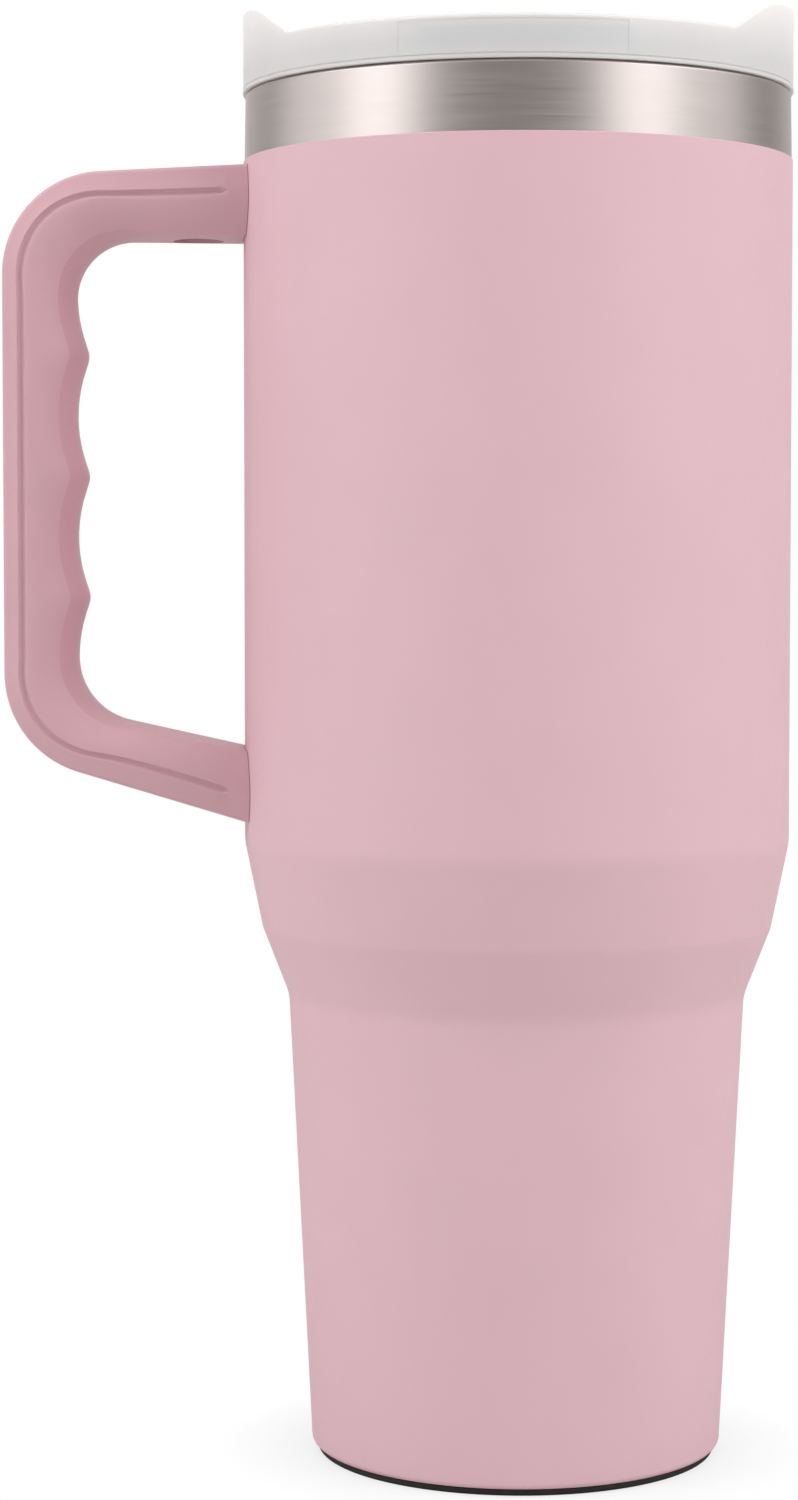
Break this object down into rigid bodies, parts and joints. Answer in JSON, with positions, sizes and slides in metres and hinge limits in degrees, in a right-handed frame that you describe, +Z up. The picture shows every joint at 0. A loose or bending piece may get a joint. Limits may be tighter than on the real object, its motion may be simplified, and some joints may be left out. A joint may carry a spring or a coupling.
{
  "type": "insulated tumbler with lid",
  "caption": "Tall double-walled steel tumbler with a stepped, tapered base, a side handle with finger hollows and a press-in lid with a rotating drink cover.",
  "frame": {"origin": "centre of the foot pad's underside, on the cup's axis, where the tumbler stands", "axes": "+Z up the cup's axis towards the lid, -X towards the handle, -Y the front"},
  "size_m": [0.1432, 0.1002, 0.2633],
  "materials": {
    "coat": "satin",
    "band_steel": "brushed",
    "inner_steel": "satin",
    "handle_plastic": "fine matte texture",
    "foot_rubber": "matte",
    "lid_plastic": "frosted",
    "cover_plastic": "frosted",
    "clear_silicone": "satin",
    "screw_steel": "satin",
    "getter_metal": "matte",
    "seal_glass": "glossy",
    "adhesive": "matte"
  },
  "bodies": {
    "cup": {"outer_shell": "band_steel", "shell_base": "inner_steel", "vacuum_seal": "seal_glass", "getter": "getter_metal", "liner": "inner_steel", "liner_base": "inner_steel", "powder_coat": "coat", "pad_adhesive": "adhesive", "foot_pad": "foot_rubber", "upper_bracket": "screw_steel", "lower_bracket": "screw_steel", "handle": "handle_plastic", "handle_screws": "screw_steel"},
    "lid": {"lid_body": "lid_plastic", "lid_seal": "clear_silicone"},
    "rotating_cover": {"cover": "cover_plastic", "cover_gasket": "clear_silicone", "pivot_washer": "screw_steel", "pivot_screw": "screw_steel"}
  },
  "joints": [
    {"name": "lid_lift", "type": "slide", "parent": "cup", "child": "lid", "axis": [0, 0, 1], "range_m": [0, 0.06]},
    {"name": "cover_turn", "type": "hinge", "parent": "lid", "child": "rotating_cover", "pos_m": [0, 0, 0.2542], "axis": [0, 0, 1], "range_deg": [-90, 90]}
  ]
}
